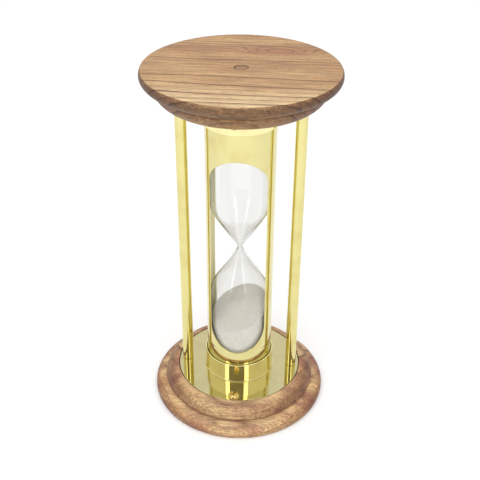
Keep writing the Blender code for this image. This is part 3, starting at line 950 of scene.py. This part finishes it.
@dataclass
class BrassEnd:
    """One brass plate with the cup that holds an end of the tube."""

    end: End
    edge_round: float = 0.18 * MM
    lip_round: float = 0.28 * MM
    screw_hole: float = 1.8 * MM
    cup_floor: float = 1.2 * MM
    cup_wall: float = 0.65 * MM
    foot_wall: float = 1.2 * MM
    foot_gap: float = 0.05 * MM
    foot_round: float = 0.22 * MM
    segments: int = 256

    def build(self, palette: Palette) -> None:
        """Build and dress the plate and the cup."""
        plate = Span.of("base_plate")
        outline = [(self.screw_hole, plate.high), (self.screw_hole, plate.low)]
        edge = plate.radius - self.edge_round
        outline += arc((edge, plate.low + self.edge_round), self.edge_round, -90, 0, 4)
        outline += arc((edge, plate.high - self.edge_round), self.edge_round, 0, 90, 6)
        self._turn("plate", outline, 0.15 * MM, palette.plate, Slot.PLATE)
        cup = Span.of("base_cup")
        floor = cup.low + self.cup_floor
        low = plate.high + self.foot_gap
        foot = self.foot_round
        outline = [(self.screw_hole, floor), (self.screw_hole, low)]
        outline += arc((cup.radius - foot, low + foot), foot, -90, 80, 10)
        outline += [(cup.radius - 0.9 * foot, low + 2.1 * foot)]
        bore = cup.radius - self.foot_wall
        lip = cup.high - self.lip_round
        outline += arc((bore + self.cup_wall - self.lip_round, lip), self.lip_round, 2, 90, 6)
        outline += arc((bore + self.lip_round, lip), self.lip_round, 90, 180, 6)
        outline += [(bore, floor)]
        self._turn("cup", outline, 0.25 * MM, palette.cup, Slot.POLISHED)

    def _turn(self, part: str, outline: Outline, margin: float, look: bpy.types.Material, slot: Slot) -> None:
        """Turn one ring of brass and dress it.

        Args:
            part: The part's name without its end.
            outline: Its closed outline.
            margin: How close to each corner the outline is supported.
            look: Its material.
            slot: Its material slot.
        """
        name = f"{self.end.value}_{part}"
        ring = lathe(supported(outline + outline[:1], margin)[:-1], self.segments, True)
        settle(finished(name + "_polished", ring, look, self.end), Body.FRAME, slot, name)


@dataclass
class RodPair:
    """The two polished rods, copies of one post whose ends are chamfered."""

    chamfer: float = 0.3 * MM
    end_gap: float = 0.05 * MM
    sides: int = 64

    def build(self, palette: Palette) -> None:
        """Build both rods with one node tree and dress them."""
        left = Span.of("left_rod")
        low = Span.of("base_plate").high + self.end_gap
        sizes = {"Radius": left.radius, "Length": TOTAL_HEIGHT - 2.0 * low, "Chamfer": self.chamfer}
        desk = ShapeDesk("chamfered_post", {**sizes, "Sides": self.sides, "Material": palette.rod})
        radius, inset = desk.given["Radius"], desk.given["Chamfer"]
        end = desk.times(desk.given["Length"], 0.5)
        near = desk.minus(end, inset)
        narrow = desk.minus(radius, inset)
        levels = [desk.times(end, -1.0), desk.times(near, -1.0), near, end]
        line = desk.run("GeometryNodeCurvePrimitiveLine", {"Start": (0.0, 0.0, 0.0), "End": (0.0, 0.0, 1.0)})
        line = desk.run("GeometryNodeResampleCurve", {"Curve": line, "Count": len(levels)})
        place = desk.joined(z=self._pick(desk, levels))
        line = desk.run("GeometryNodeSetPosition", {"Geometry": line, "Position": place})
        feeds = {"Resolution": desk.given["Sides"], "Radius": 1.0}
        ring = desk.run("GeometryNodeCurvePrimitiveCircle", feeds)
        size = self._pick(desk, [narrow, radius, radius, narrow])
        feeds = {"Curve": line, "Profile Curve": ring, "Scale": size, "Fill Caps": True}
        desk.end(desk.run("GeometryNodeCurveToMesh", feeds))
        places = [(x, 0.0, TOTAL_HEIGHT / 2.0) for x in (left.x, Span.of("right_rod").x)]
        rods = desk.bake("rods_polished", points_mesh("rod_places", places, [(0.0, 0.0, 0.0)] * 2))
        settle(rods, Body.FRAME, Slot.POLISHED, "left_rod", "right_rod")

    @staticmethod
    def _pick(desk: ShapeDesk, values: Sequence[Feed]) -> Feed:
        """Return the value whose number in the list is the point's index."""
        index = desk.add("GeometryNodeInputIndex").outputs[0]
        picked = values[0]
        for number, value in enumerate(values[1:], start=1):
            feeds = {2: index, 3: number}
            here = desk.run("FunctionNodeCompare", feeds, data_type="INT", operation="EQUAL")
            picked = desk.run("GeometryNodeSwitch", {0: here, 1: picked, 2: value}, input_type="FLOAT")
        return picked


@dataclass
class PlateScrews:
    """The four slotted round-head screws, copies of one screw."""

    head_radius: float = 2.95 * MM
    head_height: float = 2.1 * MM
    slot_width: float = 0.62 * MM
    slot_depth: float = 0.75 * MM
    shank_radius: float = 1.25 * MM
    length: float = 8.0 * MM
    seat_gap: float = 0.04 * MM
    turns: tuple = (("front", math.radians(28.0)), ("back", math.radians(-47.6)))
    sides: int = 48

    def tree(self, palette: Palette) -> ShapeDesk:
        """Return the node tree that makes one screw and copies it to each point."""
        sizes = ("head_radius", "head_height", "slot_width", "slot_depth", "shank_radius", "length", "sides")
        desk = ShapeDesk.sized("slotted_round_head_screw", self, palette.screw, *sizes)
        given = desk.given
        radius, height, sides = given["Head Radius"], given["Head Height"], given["Sides"]
        ball = desk.run("GeometryNodeMeshUVSphere", {"Segments": sides, "Rings": 24, "Radius": 1.0})
        feeds = {"Geometry": ball, "Scale": desk.joined(radius, radius, height)}
        ball = desk.run("GeometryNodeTransform", feeds)
        wide = desk.times(radius, 4.0)
        below = self._block(desk, wide, wide, 1.0, -0.5)
        slot = self._block(desk, wide, given["Slot Width"], desk.times(given["Slot Depth"], 2.0), height)
        head = self._cut(desk, self._cut(desk, ball, below), slot)
        feeds = {"Vertices": sides, "Radius": given["Shank Radius"], "Depth": given["Length"]}
        shank = desk.run("GeometryNodeMeshCylinder", feeds)
        drop = desk.joined(z=desk.times(given["Length"], -0.5))
        shank = desk.run("GeometryNodeTransform", {"Geometry": shank, "Translation": drop})
        both = desk.add("GeometryNodeJoinGeometry")
        for part in (head, shank):
            desk.feed(both.inputs[0], part)
        facing = {"Name": "facing"}
        turn = desk.run("GeometryNodeInputNamedAttribute", facing, data_type="FLOAT_VECTOR")
        desk.end(both.outputs[0], Rotation=turn)
        return desk

    @staticmethod
    def _block(desk: ShapeDesk, wide: Feed, deep: Feed, tall: Feed, level: Feed) -> Socket:
        """Return a block about the screw's axis, its middle at a level."""
        block = desk.run("GeometryNodeMeshCube", {"Size": desk.joined(wide, deep, tall)})
        return desk.run("GeometryNodeTransform", {"Geometry": block, "Translation": desk.joined(z=level)})

    @staticmethod
    def _cut(desk: ShapeDesk, solid: Feed, cutter: Feed) -> Socket:
        """Return a solid with another one cut out of it."""
        way = {"operation": "DIFFERENCE", "solver": "EXACT"}
        return desk.run("GeometryNodeMeshBoolean", {0: solid, 1: cutter}, **way)

    def build(self, palette: Palette) -> None:
        """Copy the screw to its four places and dress the copies."""
        places, turns, nodes = [], [], []
        for end in End:
            plate = Span.of(end.value + "_plate")
            seat = plate.high + self.seat_gap if end is End.BASE else plate.low - self.seat_gap
            for side, spin in self.turns:
                node = f"{end.value}_plate_screw_{side}"
                low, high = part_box(node)
                places.append(((low.x + high.x) / 2.0, (low.y + high.y) / 2.0, seat))
                turns.append((0.0 if end is End.BASE else math.pi, 0.0, spin))
                nodes.append(node)
        screws = self.tree(palette).bake("plate_screws_slotted", points_mesh("screw_places", places, turns))
        settle(screws, Body.FRAME, Slot.SCREW, *nodes)


@dataclass
class WindowTube:
    """The polished tube with a round-ended window in its front and back."""

    wall: float = 0.9 * MM
    window_width: float = 27.1 * MM
    window_length: float = 109.4 * MM
    window_level: float = 87.0 * MM
    edge: float = 0.14 * MM
    margin: float = 0.2 * MM
    flare: float = 0.18 * MM
    columns: int = 42
    end_steps: int = 28
    straight_steps: int = 10

    def window_rows(self) -> list[Place]:
        """Return the window's edge from top to bottom as (half width, height, slope of its normal)."""
        radius = self.window_width / 2.0
        reach = self.window_length / 2.0 - radius
        middle = self.window_level
        turns = [math.pi / 2.0 * (1.0 - step / self.end_steps) for step in range(self.end_steps + 1)]
        upper = [(radius * math.cos(a), middle + reach + radius * math.sin(a), math.sin(a)) for a in turns]
        shares = [1.0 - 2.0 * step / self.straight_steps for step in range(1, self.straight_steps)]
        straight = [(radius, middle + reach * share, 0.0) for share in shares]
        lower = [(half_width, 2.0 * middle - level, -slope) for half_width, level, slope in reversed(upper)]
        return upper + straight + lower

    def end_rows(self, radius: float, last: float) -> list[Place]:
        """Return a skin's rows beyond the windows, from an end inwards, as (half width, height, radius).

        The tube flares a little where it was pressed into its cup.

        Args:
            radius: The skin's radius between the ends.
            last: The level of the end's last row.

        Returns:
            The rows, whose half width is nothing because no window reaches them.
        """
        way = math.copysign(1.0, last - self.window_level)
        tip = self.window_level + way * (self.window_length / 2.0 + self.edge + self.margin)
        depth = Span.of("base_cup").high - self.margin
        lip = depth if way < 0.0 else TOTAL_HEIGHT - depth
        wide = radius + self.flare
        rows = [(last, wide), (last - way * self.margin, wide), (lip, wide)]
        rows += [(lip + (tip - lip) * share, wide - self.flare * share) for share in (0.06, 0.94)]
        return [(0.0, level, reach) for level, reach in [*rows, (tip, radius)]]

    def column_shares(self, width: float) -> list[float]:
        """Return where the columns stand across a width, from 0 to 1, with one close to each end."""
        near = self.margin / width
        inner = [near + (1.0 - 2.0 * near) * step / (self.columns - 2) for step in range(self.columns - 1)]
        return [0.0, *inner, 1.0]

    def join(self, mesh: Mesh, upper: Sequence, lower: Sequence) -> None:
        """Join two rows, each half by itself, because the windows part them."""
        for half in (slice(0, self.columns + 1), slice(self.columns + 1, None)):
            bridge(mesh, upper[half], lower[half], closed=False)

    def skin(self, mesh: Mesh, radius: float) -> list[list]:
        """Add one skin of the tube, its rows running from top to bottom.

        Args:
            mesh: The mesh that the skin is added to.
            radius: The skin's radius.

        Returns:
            Each row's vertices from the front, through +X, to the back and on through -X to the front.
        """
        cad = Span.of("window_tube")
        edge = self.edge
        beside = [(x + edge * math.sqrt(1.0 - n * n), z + edge * n, radius) for x, z, n in self.window_rows()]
        ends = [self.end_rows(radius, level) for level in (cad.high - edge, cad.low + edge)]
        rows = []
        for half_width, level, reach in ends[0] + beside + ends[1][::-1]:
            start = math.asin(min(half_width / reach, 1.0))
            width = math.pi - 2.0 * start
            angles = [start + width * share for share in self.column_shares(reach * width)]
            turns = [(side, a) for side in (reach, -reach) for a in angles]
            rows.append([mesh.verts.new((x * math.sin(a), -reach * math.cos(a), level)) for x, a in turns])
        for upper, lower in zip(rows, rows[1:]):
            self.join(mesh, upper, lower)
        return rows

    @property
    def radii(self) -> Point:
        """The outer and the inner radius between the tube's ends."""
        outer = Span.of("window_tube").radius
        return outer, outer - self.wall

    def build(self, palette: Palette) -> None:
        """Build the two skins, join them at the windows and at the ends, and dress the tube."""
        mesh = bmesh.new()
        skins = [self.skin(mesh, radius) for radius in self.radii]
        self._window_edges(mesh, *skins)
        self._ends(mesh, *skins)
        bmesh.ops.remove_doubles(mesh, verts=mesh.verts, dist=0.001 * MM)
        bmesh.ops.recalc_face_normals(mesh, faces=mesh.faces)
        tube = finished("window_tube_polished", mesh, palette.tube, sharp_degrees=50.0)
        settle(tube, Body.SLEEVE, Slot.TUBE, "window_tube")

    def _window_edges(self, mesh: Mesh, outer: Sequence, inner: Sequence) -> None:
        """Join the rows of both skins round both windows with a wall whose two corners are eased."""
        rows = self.window_rows()
        first = (len(outer) - len(rows)) // 2
        last = self.columns
        for side, facing, column in ((1, -1, 0), (1, 1, last), (-1, -1, last + 1), (-1, 1, 2 * last + 1)):
            strips = []
            for number, (half_width, level, _) in enumerate(rows, start=first):
                strip = [outer[number][column]]
                for radius in (self.radii[0] - self.edge, self.radii[1] + self.edge):
                    depth = math.sqrt(radius * radius - half_width * half_width)
                    strip.append(mesh.verts.new((side * half_width, facing * depth, level)))
                strips.append(strip + [inner[number][column]])
            for upper, lower in zip(strips, strips[1:]):
                bridge(mesh, upper, lower, closed=False)

    def _ends(self, mesh: Mesh, outer: Sequence, inner: Sequence) -> None:
        """Close the tube's two ends between the rows of both skins, with eased corners."""
        cad = Span.of("window_tube")
        flats = (self.radii[0] + self.flare - self.edge, self.radii[1] + self.flare + self.edge)
        for number, level in ((-1, cad.low), (0, cad.high)):
            rings = [outer[number]]
            for radius, skin in zip(flats, (outer, inner)):
                ways = [Vector((*vert.co.xy, 0.0)).normalized() * radius for vert in skin[number]]
                rings.append([mesh.verts.new((way.x, way.y, level)) for way in ways])
            rings.append(inner[number])
            for first, second in zip(rings, rings[1:]):
                self.join(mesh, first, second)


@dataclass
class Vial:
    """The blown glass vial: two bulbs that meet at a narrow neck, with a fill hole in the upper end."""

    wall: float = 0.55 * MM
    end_round: float = 6.0 * MM
    neck_radius: float = 1.3 * MM
    neck_bore: float = 0.45 * MM
    taper: float = 30.0 * MM
    taper_steps: int = 40
    cone: float = 23.5 * MM
    shoulder_crispness: float = 13.0
    neck_softness: float = 0.6 * MM
    fill_hole: float = 1.8 * MM
    segments: int = 128

    def radius_at(self, distance: float, neck: float, bulb: float) -> float:
        """Return a skin's radius; the cone leaves the neck softly and turns into the bulb at a shoulder.

        Args:
            distance: How far from the neck.
            neck: The skin's radius at the neck.
            bulb: The skin's full radius.

        Returns:
            The radius there.
        """
        share = distance / self.cone
        crispness = self.shoulder_crispness
        growth = (bulb - neck) * share / (1.0 + share**crispness) ** (1.0 / crispness)
        softness = self.neck_softness * max(1.0 - share, 0.0) ** 2
        return neck + growth * growth / max(growth + softness, 1e-9)

    def skin(self, neck: float, inset: float) -> Outline:
        """Return one skin's outline from the middle of its lower end to the edge of its upper one.

        Args:
            neck: The skin's radius at the neck.
            inset: How far the skin lies inside the outer one.

        Returns:
            The outline, whose upper half mirrors its lower half.
        """
        cad = Span.of("glass_vial")
        middle = (cad.low + cad.high) / 2.0
        bulb = cad.radius - inset
        corner = self.end_round - inset
        lower = [(0.0, cad.low + inset)]
        lower += arc((bulb - corner, cad.low + inset + corner), corner, -90, 0, 14)
        for step in range(self.taper_steps, -1, -1):
            distance = self.taper * step / self.taper_steps
            lower.append((self.radius_at(distance, neck, bulb), middle - distance))
        return lower + [(radius, 2.0 * middle - height) for radius, height in reversed(lower[1:-1])]

    def build(self, palette: Palette) -> None:
        """Build both skins as one closed wall and dress the glass."""
        half = self.wall / 2.0
        hole = arc((self.fill_hole + half, Span.of("glass_vial").high - half), half, 90, 270, 8)
        outline = self.skin(self.neck_radius, 0.0) + hole + self.skin(self.neck_bore, self.wall)[::-1]
        mesh = lathe(outline, self.segments)
        glass = finished("glass_vial_blown", mesh, palette.glass, sharp_degrees=60.0)
        settle(glass, Body.FRAME, Slot.GLASS, "glass_vial")


@dataclass
class Sand:
    """The heap in the lower bulb, with a sloping surface and loose grains on it."""

    clearance: float = 0.60 * MM
    end_round: float = 5.4 * MM
    level: float = 49.6 * MM
    slope: float = math.radians(24.3)
    heading: float = math.radians(42.0)
    dip: float = 0.5 * MM
    ripple: float = 0.16 * MM
    ripple_length: float = 2.3 * MM
    bend: float = 1.3
    bend_length: float = 3.1 * MM
    segments: int = 120
    wall_steps: int = 8
    rings: int = 26
    grain_radius: float = 0.19 * MM
    grain_density: float = 5.2e6
    grain_sizes: Point = (0.55, 1.0)
    grain_turns: Point = (0.0, 6.0)
    seed: int = 7

    def surface(self, x: float, y: float, edge: float) -> float:
        """Return the surface's height, which falls to the left front and sags a little in the middle."""
        along = x * math.cos(self.heading) + y * math.sin(self.heading)
        across = y * math.cos(self.heading) - x * math.sin(self.heading)
        share = min(math.hypot(x, y) / edge, 1.0)
        bend = self.bend * math.sin(along / self.bend_length)
        wave = self.ripple * math.sin(across / self.ripple_length + bend)
        sag = self.dip * (1.0 - share * share) * 0.5
        return self.level + along * math.tan(self.slope) - sag + wave * (1.0 - share**6)

    def row(self, mesh: Mesh, edge: float, reach: float, base: float, share: float) -> list:
        """Add one ring of vertices.

        Args:
            mesh: The heap's mesh.
            edge: The heap's radius.
            reach: The ring's radius.
            base: The level that the ring starts from.
            share: How far it is raised from there to the open surface, from 0 to 1.

        Returns:
            The ring's vertices.
        """
        verts = []
        for side in range(self.segments):
            angle = math.tau * side / self.segments
            x, y = reach * math.cos(angle), reach * math.sin(angle)
            verts.append(mesh.verts.new((x, y, base + (self.surface(x, y, edge) - base) * share)))
        return verts

    def build(self, palette: Palette) -> None:
        """Build the heap, then scatter grains on its surface."""
        vial = Span.of("glass_vial")
        radius = vial.radius - self.clearance
        low = vial.low + self.clearance
        wall = arc((radius - self.end_round, low + self.end_round), self.end_round, -90, 0, 12)
        mesh = bmesh.new()
        rows = [self.row(mesh, radius, reach, level, 0.0) for reach, level in wall]
        shares = [step / self.wall_steps for step in range(1, self.wall_steps + 1)]
        rows += [self.row(mesh, radius, radius, wall[-1][1], share) for share in shares]
        circles = [radius * ring / self.rings for ring in range(self.rings - 1, 0, -1)]
        rows += [self.row(mesh, radius, reach, 0.0, 1.0) for reach in circles]
        bottom = mesh.verts.new((0.0, 0.0, low))
        top = mesh.verts.new((0.0, 0.0, self.surface(0.0, 0.0, radius)))
        for lower, upper in zip(rows, rows[1:]):
            bridge(mesh, lower, upper)
        bridge(mesh, [bottom], rows[0])
        bridge(mesh, [top], rows[-1])
        bmesh.ops.recalc_face_normals(mesh, faces=mesh.faces)
        crown = self._crown(mesh, radius)
        settle(finished("sand_heap", mesh, palette.sand), Body.FRAME, Slot.SAND, "sand")
        settle(self._grains(palette).bake("sand_grains", crown, 180.0), Body.FRAME, Slot.SAND)

    def _crown(self, mesh: Mesh, radius: float) -> bpy.types.Mesh:
        """Return a copy of the heap's open surface, a grain's width in from the glass."""
        crown = mesh.copy()
        limit = radius - 2.0 * self.grain_radius
        far = [f for f in crown.faces if max(v.co.xy.length for v in f.verts) > limit or f.normal.z < 0.2]
        bmesh.ops.delete(crown, geom=far, context="FACES")
        data = bpy.data.meshes.new("sand_crown")
        crown.to_mesh(data)
        crown.free()
        return data

    def _grains(self, palette: Palette) -> ShapeDesk:
        """Return the node tree that scatters small grains over a surface."""
        sizes = ("grain_radius", "grain_density", "seed")
        desk = ShapeDesk.sized("scattered_grains", self, palette.sand, *sizes)
        given = desk.given
        feeds = {"Mesh": given["Geometry"], "Density": given["Grain Density"], "Seed": given["Seed"]}
        spots = desk.run("GeometryNodeDistributePointsOnFaces", feeds)
        feeds = {"Radius": given["Grain Radius"], "Subdivisions": 1}
        grain = desk.run("GeometryNodeMeshIcoSphere", feeds)
        size = self._random(desk, self.grain_sizes, 11)
        tilt, spin = (self._random(desk, self.grain_turns, seed) for seed in (12, 13))
        turn = desk.joined(tilt, z=spin)
        desk.end(grain, Points=spots, Rotation=turn, Scale=size)
        return desk

    @staticmethod
    def _random(desk: ShapeDesk, limits: Point, seed: int) -> Socket:
        """Return a random number for each grain."""
        feeds = {2: limits[0], 3: limits[1], 8: seed}
        return desk.run("FunctionNodeRandomValue", feeds, data_type="FLOAT").node.outputs[1]


@dataclass
class HiddenHardware:
    """The CAD nodes that stay: screws and nuts inside the ends, and the cork that beds the vial."""

    steel: Sequence[str] = ("cup_screw", "cup_nut", "left_rod_screw", "right_rod_screw")
    cork: Sequence[str] = ("vial_pad",)

    def dress(self, palette: Palette) -> None:
        """Give each kept node its material."""
        looks = {"fill_stopper": palette.cork}
        for end in End:
            looks.update({f"{end.value}_{part}": palette.steel for part in self.steel})
            looks.update({f"{end.value}_{part}": palette.cork for part in self.cork})
        for node, material in looks.items():
            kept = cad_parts[node].data.materials
            kept.clear()
            kept.append(material)
            log.info("%s: kept from the frame", node)


# ---- studio


@dataclass(frozen=True)
class Softbox:
    """A rectangular lamp that faces the timer, placed by its angle in degrees from the camera's direction."""

    name: str
    turn: float
    distance: float
    height: float
    size: Point
    level: float
    mirrored: bool = True


@dataclass
class Studio:
    """A white paper floor, soft lights, a dark card on the camera's side, and the camera."""

    azimuth: float = math.radians(5.2)
    distance: float = 344.0 * MM
    height: float = 308.6 * MM
    pitch: float = math.radians(32.33)
    roll: float = math.radians(0.447)
    lens: float = 61.86
    world_level: float = 0.88
    low_fill: float = 0.25
    high_fill: float = 1.15
    floor_half: float = 3.0
    floor_gap: float = 0.05 * MM
    card_turns: Point = (-33.0, 17.0)
    card_levels: Point = (0.02, 0.95)
    card_distance: float = 0.66
    card_steps: int = 12
    softboxes: Sequence[Softbox] = (
        Softbox("overhead_softbox", 0.0, 0.25, 1.15, (0.9, 0.9), 0.72),
        Softbox("left_strip", -40.0, 0.62, 0.56, (0.15, 0.55), 1.8),
        Softbox("right_strip", 25.0, 0.62, 0.56, (0.15, 0.55), 1.8),
        Softbox("front_fill", -8.0, 0.95, 0.9, (0.7, 0.7), 1.5, mirrored=False),
    )

    def around(self, turn: float, distance: float, height: float) -> Vector:
        """Return a place at an angle from the camera's direction, seen from above, in degrees."""
        angle = self.azimuth + math.radians(turn)
        return Vector((math.sin(angle) * distance, -math.cos(angle) * distance, height))

    def camera(self) -> None:
        """Make the camera and aim it."""
        data = bpy.data.cameras.new("camera")
        data.lens = self.lens
        data.clip_start = 10.0 * MM
        turn = Matrix.Rotation(self.azimuth, 4, "Z")
        turn @= Matrix.Rotation(math.pi / 2.0 - self.pitch, 4, "X")
        turn @= Matrix.Rotation(self.roll, 4, "Z")
        camera = linked("camera", data)
        camera.matrix_world = Matrix.Translation(self.around(0.0, self.distance, self.height)) @ turn
        bpy.context.scene.camera = camera

    def hang(self, box: Softbox) -> None:
        """Hang one softbox, its face as bright as its level says, where 1 is white."""
        data = bpy.data.lights.new(box.name, "AREA")
        data.shape = "RECTANGLE"
        data.size, data.size_y = box.size
        data.energy = box.level * math.pi * box.size[0] * box.size[1]
        place = self.around(box.turn, box.distance, box.height)
        aim = Vector((0.0, 0.0, TOTAL_HEIGHT / 2.0)) - place
        lamp = linked(box.name, data)
        lamp.matrix_world = Matrix.Translation(place) @ aim.to_track_quat("-Z", "Y").to_matrix().to_4x4()
        lamp.visible_glossy = box.mirrored

    def surround(self) -> None:
        """Set the white surround, which lights matte surfaces more from above than from the side."""
        world = bpy.data.worlds.new("white_surround")
        world.use_nodes = True
        desk = NodeDesk(world.node_tree)
        rays = desk.add("ShaderNodeLightPath").outputs
        rise = desk.parts(desk.add("ShaderNodeTexCoord").outputs["Generated"])[2]
        from_above = desk.spread(rise, 0.05, 0.85, self.low_fill, self.high_fill)
        level = desk.run("ShaderNodeMix", {0: rays["Is Diffuse Ray"], 2: self.world_level, 3: from_above})
        level = desk.math("MAXIMUM", level, rays["Is Camera Ray"])
        desk.fill(desk.tree.nodes["Background"], Color=(1.0, 1.0, 1.0), Strength=level)
        bpy.context.scene.world = world

    def stage(self, palette: Palette) -> None:
        """Lay the paper floor and stand the dark card, which only reflections show, behind the camera."""
        mesh = bmesh.new()
        far, level = self.floor_half, CAD_LOW.z - self.floor_gap
        corners = ((-far, -far), (far, -far), (far, far), (-far, far))
        mesh.faces.new([mesh.verts.new((x, y, level)) for x, y in corners])
        floor = finished("studio_floor", mesh, palette.paper)
        mesh = bmesh.new()
        columns = []
        for step in range(self.card_steps + 1):
            turn = self.card_turns[0] + (self.card_turns[1] - self.card_turns[0]) * step / self.card_steps
            places = [self.around(turn, self.card_distance, height) for height in self.card_levels]
            columns.append([mesh.verts.new(place) for place in places])
        for left, right in zip(columns, columns[1:]):
            bridge(mesh, right, left, closed=False)
        card = finished("camera_side_card", mesh, palette.card)
        card.visible_camera = card.visible_diffuse = card.visible_shadow = False
        for item in (floor, card):
            log.info("%s: stage", item.name)


def main() -> None:
    """Build the studio and every sub-assembly in order."""
    logging.basicConfig(level=logging.INFO, format="%(message)s", stream=sys.stdout)
    bpy.context.scene.view_settings.view_transform = "Standard"
    palette = Palette(SharedEffects())
    studio = Studio()
    studio.camera()
    for box in studio.softboxes:
        studio.hang(box)
    studio.surround()
    studio.stage(palette)
    for end in End:
        WoodEnd(end).build(palette)
        BrassEnd(end).build(palette)
    for assembly in (RodPair(), PlateScrews(), WindowTube(), Vial(), Sand()):
        assembly.build(palette)
    HiddenHardware().dress(palette)


if __name__ == "__main__":
    main()
